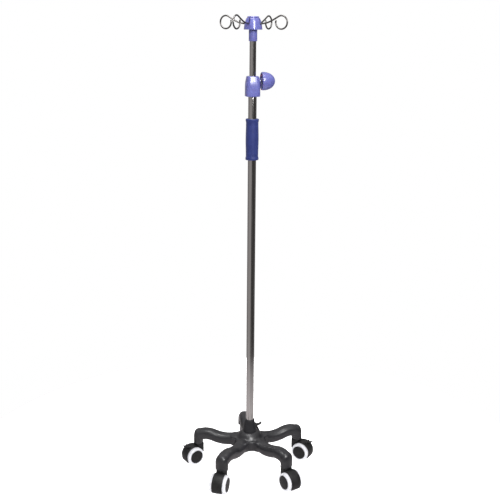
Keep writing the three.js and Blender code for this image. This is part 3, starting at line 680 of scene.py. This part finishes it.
def makeClamp():
    style = clampStyle
    knobAxis, angle = alongKnob()
    low, high = lowOf("clamp_body").z, highOf("clamp_body").z
    half, crest, shoulderInset = style["half"], style["crest"], style["shoulderInset"]
    face = flatFace(2 * half, 2 * half)
    roundCorners(face, list(face.verts), style["corner"], 12)

    def level(height, inset=0):
        return shifted(z=height) @ stretched(1 - inset / half, 1 - inset / half, 1)

    stations = [level(low + rise, inset)
                for rise, inset in ((0, style["foot"]), (0.35, 0.55), (1.2, 0.1), (2.6, 0))]
    straight = high - low - style["shoulder"]
    stations += [level(low + 2.6 + (straight - 2.6) * i / 4) for i in range(1, 5)]
    for i in range(1, 17):  # the shoulder leans in, then rounds over at the top
        share = i / 16
        stations.append(level(low + (straight + (style["shoulder"] - crest) * share),
                              shoulderInset * share ** 1.7))
    for i in range(1, 7):
        climb = math.radians(15 * i)
        stations.append(level(high - crest * (1 - math.sin(climb)),
                              shoulderInset + crest * (1 - math.cos(climb))))
    body = copyOf(swept(face, stations), turned(angle, "Z"))
    bossRadius, bossTop = style["bossRadius"], half + style["bossProud"]
    boss = spun([(0, 12), (bossRadius + 1.5, 12), (bossRadius + 1.5, half), (bossRadius, half + 0.8),
                 (bossRadius - 0.8, bossTop), (0, bossTop)], 56)
    body = combined(body, copyOf(boss, knobAxis), "UNION")
    tubeTop = highOf("lower_tube").z
    for bore in (drum(style["lowerBore"], low - 20, tubeTop + 0.3, 96),
                 drum(style["upperBore"], tubeTop, high + 20, 96),
                 drum(style["screwBore"], 0, 3 * half, 40, knobAxis),
                 drum(style["padBore"], 0, style["padDepth"], 40, knobAxis)):
        body = combined(body, bore)
    finishPiece(body, "clampBody", "violet_plastic", "base", ["clamp_body"], sharp=40)

    low, high = lowOf("clamp_bush").z, highOf("clamp_bush").z
    inner, outer = style["bushInner"], style["bushOuter"]
    bush = spun([(inner, low), (outer, low), (outer, high), (inner, high)], 96, ring=True)
    eased(bush, 0.35, 2, 60)
    bush = combined(bush, drum(style["padBore"], 0, 60, 40, knobAxis))
    finishPiece(bush, "clampBush", "bush_plastic", "base", ["clamp_bush"], sharp=40)


def makeKnob():
    style = knobStyle
    knobAxis = alongKnob()[0]
    back, hollow, hollowRadius = style["back"], style["hollow"], style["hollowRadius"]
    radius, rim, depth = style["radius"], style["rim"], style["depth"]
    inside = [(0, style["screwDepth"]), (4.3, style["screwDepth"]), *style["core"], (13, hollow),
              (hollowRadius - 2, hollow), (hollowRadius, hollow - 2), (hollowRadius + 0.6, 0.8),
              (hollowRadius + 1.5, 0)]
    profile = profileFrom(inside, 0, back) + profileFrom(style["edge"], radius, back)
    profile.append((radius, back + rim))
    for i in range(1, style["domeSteps"] + 1):
        climb = math.radians(90 * i / style["domeSteps"])
        wide = radius * math.cos(climb) if i < style["domeSteps"] else 0
        profile.append((wide, back + rim + (depth - rim) * math.sin(climb)))
    finishPiece(spun(profile, 112), "clampKnob", "violet_plastic", "knob", ["clamp_knob"], sharp=45,
                place=knobAxis)

    tip, crest, root = screwStyle["tip"], screwStyle["crest"], screwStyle["root"]
    end = tip + 1 + screwStyle["pitch"] * screwStyle["turns"]
    thread = [(0, tip), (3.2, tip), (3.9, tip + 0.8)]
    for i in range(screwStyle["turns"]):
        z = tip + 1 + screwStyle["pitch"] * i
        thread += [(crest, z), (crest, z + 0.2), (root, z + 0.62), (root, z + 0.8)]
    thread += [(3.9, end), (3.9, back + 26), (0, back + 26)]
    finishPiece(spun(thread, 40), "clampScrew", "zinc_steel", "knob", ["clamp_screw"], sharp=30,
                place=knobAxis)


makeClamp()
makeKnob()
print("clamp and knob made")

# head and hooks
headStyle = {
    "bore": 12.8, "sleeveRadius": 15.9, "skirtRadius": 34.8, "wall": 3.4, "recess": 12,
    "pivotRadius": 19, "pivotRise": 22, "pivotWire": 1.5, "slotHalf": 3.6, "eyeRoom": 5.8,
    "spigotBore": 6.3, "channel": (16.9, 21.1),
    "sleeve": [(-1.4, 0), (-0.5, 0.5), (0, 1.8), (0, 14), (0, 28), (0, 40)],
    "bell": [(34.8, 0.7), (34.75, 1.6), (34.3, 6.5), (33.5, 12.6), (32.8, 17.6), (31.8, 22.3),
             (30.6, 27), (29, 31.9), (27.7, 35.8), (26.4, 39.4), (25.3, 41.4), (24, 42)],
    "cap": [(22.4, -3), (21.9, -1.6), (20.9, -0.6), (19.2, -0.1), (17, -0.1), (16.4, -0.7),
            (15.6, -0.7), (15, -0.1), (14, 0), (7, 0), (0, 0)]}
hookStyle = {"wire": 3, "ringRadius": 24, "reach": 120, "ringRise": 5, "armAngle": 115, "sweep": 309,
             "arm": [(0.2, 0.1), (0.42, 3.8), (0.64, 13)], "eye": 5.2, "eyeHole": 2.1}
hookAngles = [60, 150, 240, 330]


def makeHead():
    style = headStyle
    skirt = lowOf("hook_hub").z
    top = highOf("hook_hub").z
    pivot = skirt + style["pivotRise"]
    bore, wall, pivotRadius = style["bore"], style["wall"], style["pivotRadius"]
    low, high = lowOf("hub_sleeve").z, highOf("hub_sleeve").z
    outer = style["sleeveRadius"]
    sleeve = spun([(bore, low), *profileFrom(style["sleeve"], outer, low), (outer, high),
                   (bore, high)], 112, ring=True)
    finishPiece(sleeve, "hubSleeve", "violet_plastic", "head", ["hub_sleeve"], sharp=40)

    tubeTop = highOf("upper_tube").z + 0.3
    skirtRadius, spigot = style["skirtRadius"], style["spigotBore"]
    inner, recess = skirtRadius - wall, skirt + style["recess"]
    bell = spun([(0, tubeTop), (bore, tubeTop), (bore, recess), (inner - 3, recess),
                 (inner - 1, recess - 2), (inner, skirt + 0.6), (inner + 0.7, skirt),
                 (skirtRadius - 0.9, skirt), *profileFrom(style["bell"], 0, skirt),
                 (spigot, top), (spigot, top - 9), (0, top - 9)], 144)
    half = style["slotHalf"]
    slotHeight = top + 30 - pivot
    slot = block(60, 2 * half, slotHeight + 3.3,
                 shifted(pivotRadius - half + 30, 0, pivot + (slotHeight - 3.3) / 2))
    slots = aroundZ(slot, hookAngles)
    room = crossDrum(style["eyeRoom"], half, 48, shifted(pivotRadius, 0, pivot))
    rooms = aroundZ(room, hookAngles)
    near, far = style["channel"]
    channel = spun([(near, pivot - 1.8), (far, pivot - 1.8), (far, top + 8), (near, top + 8)], 96,
                   ring=True)
    for cutter in (slots, rooms, channel):
        bell = combined(bell, cutter)
    finishPiece(bell, "hookHub", "violet_plastic", "head", ["hook_hub"], sharp=38)

    capLow, capTop = lowOf("hub_cap").z, highOf("hub_cap").z
    capFoot = top + 0.3
    cap = spun([(0, capLow), (6, capLow), (6, capFoot), (22.1, capFoot), (22.4, capFoot + 0.4),
                *profileFrom(style["cap"], 0, capTop)], 112)
    finishPiece(combined(cap, slots), "hubCap", "violet_plastic", "head", ["hub_cap"], sharp=38)

    wire = style["pivotWire"]
    corners = [math.radians(30 * i) for i in range(12)]
    ring = [(pivotRadius + wire * math.cos(turn), pivot + wire * math.sin(turn)) for turn in corners]
    finishPiece(spun(ring, 96, ring=True), "hookPivotRing", "zinc_steel", "head",
                ["hook_pivot_ring"], sharp=60)


def makeHook():
    style = hookStyle
    centre = style["reach"] - headStyle["pivotRadius"]
    points = [(style["eye"] - 1.5, 0)] + [(share * centre, rise) for share, rise in style["arm"]]
    for i in range(17):
        turn = math.radians(style["armAngle"] - style["sweep"] * i / 16)
        points.append((centre + style["ringRadius"] * math.cos(turn),
                       style["ringRise"] + style["ringRadius"] * math.sin(turn)))
    stations = stationsOn(smoothPath(points, 6))
    last = stations.pop()
    stations.append(last @ shifted(-0.2))
    for ahead, share in ((0.4, 0.97), (1.4, 0.86), (2.3, 0.62), (2.9, 0.24)):  # a rounded free end
        stations.append(last @ shifted(ahead) @ stretched(1, share, share))
    wire = swept(roundFace(style["wire"]), stations)
    hole, rim, half = style["eyeHole"], style["eye"], style["wire"]
    eye = spun([(hole, -half), (rim, -half), (rim, half), (hole, half)], 48, ring=True)
    eased(eye, 0.9, 3, 60)
    return combined(wire, copyOf(eye, turned(90, "X")), "UNION")


def makeHooks():
    pivot = lowOf("hook_hub").z + headStyle["pivotRise"]
    for number, angle in enumerate(hookAngles, 1):
        place = turned(angle, "Z") @ shifted(headStyle["pivotRadius"], 0, pivot)
        finishPiece(makeHook(), f"bagHook{number}", "hook_wire", f"hook_{number}",
                    [f"hook_{number}"], sharp=45, place=place)


makeHead()
makeHooks()
print("head and hooks made")

# casters
casterStyle = {
    "trail": 30, "axle": 37.5, "hoodInner": 39, "hoodOuter": 42.5, "hoodHalf": 22, "webHalf": 7,
    "from": -35, "to": 165, "hoodTop": 84, "hubRadius": 12, "axleBore": 4.3, "stemBore": 5.8,
    "stemDepth": 30.3, "collarBore": 10.6,
    "pedalAngle": 62, "pedalReach": 47.1, "pedalWidth": 22, "earRadius": 4.6, "earWidth": 3.5,
    "pinRadius": 1.6, "pinBore": 1.9}
wheelStyle = {
    "tyreIn": 9, "tyreOut": 34, "coreRadius": 27, "tyreRadius": 37.5, "boreDepth": 30.3,
    "back": [(4.3, 0), (10, 0), (10.6, 1), (11, 5), (21.5, 5), (22, 1), (22.6, 0)],
    "face": [(0, 0.15), (1.1, 0.2), (1.4, 0.55), (1.1, 0.95), (0, 1.15), (-1.2, 1.15),
             (-1.7, 0.5), (-2.4, 0.5), (-2.9, 1.0), (-6, 1.1), (-11, 1.6), (-17, 1.9),
             (-21.5, 2), (-22, 1.5), (-22.8, 1.5), (-23.2, 1.9)],
    "treadIn": [(-2.4, 0), (-0.9, 0.7), (-0.1, 2.4), (0, 5), (0, 11.6), (-0.35, 12),
                (-0.35, 12.6), (0, 13)],
    "treadOut": [(0, -6.5), (-0.3, -4.2), (-1.3, -2.1), (-3, -0.7), (-5.2, -0.1)]}
pedalStyle = {
    "barrel": 3.2, "ridge": 0.75, "ridges": [(13.5, 3.85), (16.5, 4.8), (19.5, 6.1), (22.3, 8.05)],
    "tab": [(0, -2.8, 3, 1), (7, -1.4, 3.2, 1), (12, -0.3, 3.7, 1), (17, 1.6, 5.1, 1),
            (21, 4.0, 7.2, 1), (24, 6.4, 9.5, 0.97), (25.6, 8.0, 10.7, 0.9),
            (26.4, 9.2, 11.0, 0.78)]}


def atAxle():
    return shifted(casterStyle["trail"], 0, casterStyle["axle"])


def arcSolid(inner, outer, half, corner, start, end, steps):  # a strip bent round the axle
    bm = flatFace(outer - inner, 2 * half, x=(outer + inner) / 2)
    if corner:
        roundCorners(bm, [v for v in bm.verts if v.co.x > inner + 0.01], corner, 5)
    bm.transform(turned(-start, "Y"))
    return swept(bm, [turned(-(end - start) * i / steps, "Y") for i in range(steps + 1)])


neckStyle = {"front": -18.5, "back": 17, "half": 20.5, "corner": 11, "foot": 44, "round": 6,
             "top": 87.3}


def makeNeck():  # the block that holds the stem, as broad as the leg end above it
    style = neckStyle
    face = flatFace(style["back"] - style["front"], 2 * style["half"])
    roundCorners(face, list(face.verts), style["corner"], 9)
    centre = (style["back"] + style["front"]) / 2
    stations = [shifted(centre, 0, style["foot"])]
    for i in range(7):
        climb = math.radians(15 * i)
        inset = style["round"] * (1 - math.cos(climb)) / style["half"]
        height = style["top"] - style["round"] * (1 - math.sin(climb))
        stations.append(shifted(centre * (1 - inset), 0, height) @ stretched(1 - inset, 1 - inset))
    return swept(face, stations)


def pedalHinge():
    angle = math.radians(casterStyle["pedalAngle"])
    reach = casterStyle["pedalReach"]
    return atAxle() @ shifted(reach * math.cos(angle), 0, reach * math.sin(angle))


def makeHood(braked):
    style = casterStyle
    start, end = style["from"], style["to"]
    cover = arcSolid(style["hoodInner"], style["hoodOuter"], style["hoodHalf"], 3, start, end, 56)
    cover = eased(cover, 0.6, 2, 60)
    web = arcSolid(6, style["hoodOuter"] - 1.2, style["webHalf"], 0, start + 1, end - 1, 56)
    hood = combined(cover, web, "UNION")
    hood = combined(hood, crossDrum(style["hubRadius"], style["webHalf"] + 0.6, 48), "UNION")
    hood = copyOf(hood, atAxle())
    space = crossDrum(style["hoodInner"], 40, 128, atAxle())
    hood = combined(hood, combined(makeNeck(), space), "UNION")
    top = style["hoodTop"]
    for bore in (crossDrum(style["axleBore"], 20, 40, atAxle()),
                 drum(style["stemBore"], top - style["stemDepth"], top + 5, 40),
                 drum(style["collarBore"], top, top + 5, 56)):
        hood = combined(hood, bore)
    if braked:
        hinge = pedalHinge()
        radius, width = style["earRadius"], style["earWidth"]
        for side in (-1, 1):
            middle = side * (style["pedalWidth"] / 2 + 0.3 + width / 2)
            ear = eased(crossDrum(radius, width / 2, 40), 0.5, 2, 60)
            foot = block(2 * radius, width - 0.1, 2 * radius,
                         turned(90 - style["pedalAngle"], "Y") @ shifted(z=-radius))
            ear = combined(ear, foot, "UNION")
            hood = combined(hood, copyOf(ear, hinge @ shifted(0, middle, 0)), "UNION")
        hood = combined(hood, crossDrum(style["pinBore"], 30, 24, hinge))
    return hood


def makeWheelCore():
    style = wheelStyle
    core, low, high = style["coreRadius"], style["tyreIn"], style["tyreOut"]
    bore = style["boreDepth"]
    return spun([(0, bore), (4.3, bore), *profileFrom(style["back"], 0, low), (core - 0.4, low),
                 (core, low + 0.4), *profileFrom(style["face"], core, high),
                 (0, high + 1.95)], 80)


def makeTyre():
    style = wheelStyle
    inner, outer = style["coreRadius"] + 0.3, style["tyreRadius"]
    low, high = style["tyreIn"], style["tyreOut"]
    return spun([(inner, low), *profileFrom(style["treadIn"], outer, low),
                 *profileFrom(style["treadOut"], outer, high), (inner + 1.2, high - 0.1),
                 (inner, high - 0.7)], 96, ring=True)


def makePedal():
    half = casterStyle["pedalWidth"] / 2
    barrel = eased(crossDrum(pedalStyle["barrel"], half, 32), 0.4, 2, 60)
    pedal = combined(barrel, crossDrum(casterStyle["pinRadius"], half + 3.3, 24), "UNION")
    thick = 3.4
    stations = [shifted(x, 0, (low + high) / 2) @ stretched(1, spread, (high - low) / thick)
                for x, low, high, spread in pedalStyle["tab"]]
    tab = swept(roundedFace(2 * half - 2, -thick / 2, thick / 2, 1, 1, 4), stations)
    pedal = combined(pedal, tab, "UNION")
    for x, z in pedalStyle["ridges"]:  # a grip for the shoe
        ridge = crossDrum(pedalStyle["ridge"], half - 2.2, 16, shifted(x, 0, z))
        pedal = combined(pedal, ridge, "UNION")
    return pedal


def makeCasters():
    hoods = {braked: makeHood(braked) for braked in (True, False)}
    core, tyre, pedal = makeWheelCore(), makeTyre(), makePedal()
    for name in casterNames:
        stem, axle = middleOf(f"{name}_caster_stem"), middleOf(f"{name}_caster_axle")
        heading = math.degrees(math.atan2(axle.y - stem.y, axle.x - stem.x))
        place = shifted(stem.x, stem.y) @ turned(heading, "Z")
        braked = name in brakedCasters
        finishPiece(copyOf(hoods[braked]), f"{name}CasterHood", "caster_plastic", f"{name}_caster",
                    [f"{name}_caster_hood"], sharp=38, place=place)
        for side, turn in (("left", -90), ("right", 90)):
            atWheel = place @ atAxle() @ turned(turn, "X")
            body = f"{name}_{side}_wheel"
            finishPiece(copyOf(core), f"{name}{side.title()}WheelCap", "caster_plastic", body,
                        [f"{name}_caster_{side}_wheel"], sharp=40, place=atWheel)
            finishPiece(copyOf(tyre), f"{name}{side.title()}Tyre", "pale_tyre", body,
                        [f"{name}_caster_{side}_tyre"], sharp=40, place=atWheel)
        if braked:
            finishPiece(copyOf(pedal), f"{name}BrakePedal", "caster_plastic", f"{name}_pedal",
                        [f"{name}_caster_pedal"], sharp=38, place=place @ pedalHinge())


makeCasters()
print("casters made")

# finishes of the nodes that stay as they are
def dressNodes():
    plain = {"mast_bolt": "zinc_steel", "bolt_washer": "zinc_steel", "tube_insert": "zinc_steel",
             "guide_bush": "bush_plastic", "pressure_pad": "bush_plastic"}
    for name in casterNames:
        plain[f"{name}_caster_stem"] = plain[f"{name}_caster_axle"] = "zinc_steel"
    for node, finish in plain.items():
        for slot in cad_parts[node].material_slots:
            slot.material = finishes[finish]


dressNodes()
print("kept nodes dressed")

# floor, light and camera
# The floor is painted light. It glows towards white, and in glossy rays it shows a painted
# reflection: a pale tone near the middle and the studio screens further out.
stageStyle = {"floorRadius": 1.25, "floorTone": (0.9, 0.9, 0.905), "glow": 0.74,
              "paintedInMirror": (0.74, 0.69, 0.7)}
cameraStyle = {"place": (-0.0047, -3.365, 1.81), "pitch": 14.38, "roll": 0.47, "lens": 62.7}
studioScreens = [  # round the object from the left, by way of the camera, the right and the back
    (0.0, 0.3), (0.08, 0.42), (0.17, 0.36), (0.225, 0.38), (0.25, 0.2), (0.27, 0.05),
    (0.31, 0.035), (0.335, 0.16), (0.36, 0.04), (0.44, 0.05), (0.52, 0.12), (0.6, 0.06),
    (0.7, 0.14), (0.8, 0.34), (0.88, 0.2), (1.0, 0.3)]


def addScreens(tree, place):  # soft bright and dark screens round a place
    parts = addNode(tree, "ShaderNodeSeparateXYZ", {0: place})
    around = addMath(tree, "ARCTAN2", parts.outputs["Y"], parts.outputs["X"])
    ramp = addNode(tree, "ShaderNodeValToRGB", {"Fac": addRange(tree, around, -math.pi, math.pi)})
    stops = ramp.color_ramp
    stops.interpolation = "EASE"
    while len(stops.elements) < len(studioScreens):
        stops.elements.new(0.5)
    for stop, (at, tone) in zip(stops.elements, studioScreens):
        stop.position = at
        stop.color = (tone, tone * 0.95, tone * 0.94, 1)
    return ramp.outputs["Color"], parts.outputs["Z"]


def makeFloor():
    bm = bmesh.new()
    bmesh.ops.create_circle(bm, cap_ends=True, segments=96, radius=stageStyle["floorRadius"])
    mesh = bpy.data.meshes.new("studioFloor")
    bm.to_mesh(mesh)
    material, tree, shader = newFinish("studioFloor", Roughness=0.9)
    place = objectPlace(tree)
    cloud = addNoise(tree, place, 3.0, 3.0)
    tone = stageStyle["floorTone"]
    paler = tuple(value + 0.02 for value in tone)
    pale = mixColour(tree, cloud, tone, paler)
    # In glossy rays the floor's own colour is black. What shows there is the painted reflection it
    # emits.
    paintedInMirror = addNode(tree, "ShaderNodeLightPath").outputs["Is Glossy Ray"]
    tree.links.new(mixColour(tree, paintedInMirror, pale, (0, 0, 0)), shader.inputs["Base Color"])
    far = addNode(tree, "ShaderNodeVectorMath", {0: place}, operation="LENGTH").outputs["Value"]
    radius = stageStyle["floorRadius"]
    edge = addRange(tree, far, 0.3 * radius, 0.98 * radius, stageStyle["glow"], 1.0)
    glow = mixColour(tree, edge, (0, 0, 0), (1, 1, 1))
    # Painted reflection: in glossy rays the floor glows with a pale tone near the middle, which
    # gives way to the bright and dark studio screens further out.
    screens = addScreens(tree, place)[0]
    paintedReflection = mixColour(tree, addRange(tree, far, 0.35, 1.4), stageStyle["paintedInMirror"], screens)
    tree.links.new(mixColour(tree, paintedInMirror, glow, paintedReflection), shader.inputs["Emission Color"])
    shader.inputs["Emission Strength"].default_value = 1.0
    mesh.materials.append(material)
    floor = bpy.data.objects.new("studioFloor", mesh)
    scene.collection.objects.link(floor)


worldStyle = {"strength": 1.0, "overhead": 0.7, "diffuse": 0.36}


def makeWorld():  # plain white to the eye; the screens show only in reflections
    world = bpy.data.worlds.new("studio")
    world.use_nodes = True
    tree = world.node_tree
    tree.nodes.clear()
    way = addNode(tree, "ShaderNodeTexCoord").outputs["Generated"]
    screens, height = addScreens(tree, way)
    overhead = addRange(tree, height, 0.35, 0.85)
    screens = mixColour(tree, overhead, screens, (worldStyle["overhead"],) * 3)
    rays = addNode(tree, "ShaderNodeLightPath")
    seen = mixColour(tree, rays.outputs["Is Glossy Ray"], (worldStyle["diffuse"],) * 3, screens)
    around = addNode(tree, "ShaderNodeBackground",
                     {"Color": seen, "Strength": worldStyle["strength"]})
    eye = addNode(tree, "ShaderNodeBackground", {"Color": (1, 1, 1, 1), "Strength": 1.0})
    blend = addNode(tree, "ShaderNodeMixShader",
                    {0: rays.outputs["Is Camera Ray"], 1: around.outputs[0], 2: eye.outputs[0]})
    addNode(tree, "ShaderNodeOutputWorld", {"Surface": blend.outputs[0]})
    scene.world = world


def addSoftbox(name, place, target, size, power):
    light = bpy.data.lights.new(name, "AREA")
    light.shape, light.size, light.size_y, light.energy = "RECTANGLE", size[0], size[1], power
    lamp = bpy.data.objects.new(name, light)
    lamp.location = place
    lamp.rotation_euler = (Vector(target) - Vector(place)).to_track_quat("-Z", "Y").to_euler()
    scene.collection.objects.link(lamp)
    return lamp


def makeLights():
    addSoftbox("keyLight", (1.0, -3.2, 3.2), (0, 0, 1.1), (0.8, 2.0), 190)
    addSoftbox("topLight", (-0.3, -0.4, 3.8), (0, 0, 0), (1.4, 1.4), 60)
    for name, place in (("backLeftLight", (-2.4, 2.4, 2.4)), ("backRightLight", (2.4, 2.4, 2.4))):
        lamp = addSoftbox(name, place, (0, 0, 1.0), (1.4, 2.0), 75)
        lamp.visible_glossy = False  # fills the back without bright rims round the front


def makeCamera():
    lens = bpy.data.cameras.new("studioCamera")
    lens.lens, lens.sensor_width = cameraStyle["lens"], 36
    camera = bpy.data.objects.new("studioCamera", lens)
    pitch = turned(90 - cameraStyle["pitch"], "X")
    camera.matrix_world = (Matrix.Translation(cameraStyle["place"]) @ pitch
                           @ turned(cameraStyle["roll"], "Z"))
    scene.collection.objects.link(camera)
    scene.camera = camera


makeFloor()
makeWorld()
makeLights()
makeCamera()
scene.view_settings.view_transform = "Standard"
print("studio made")
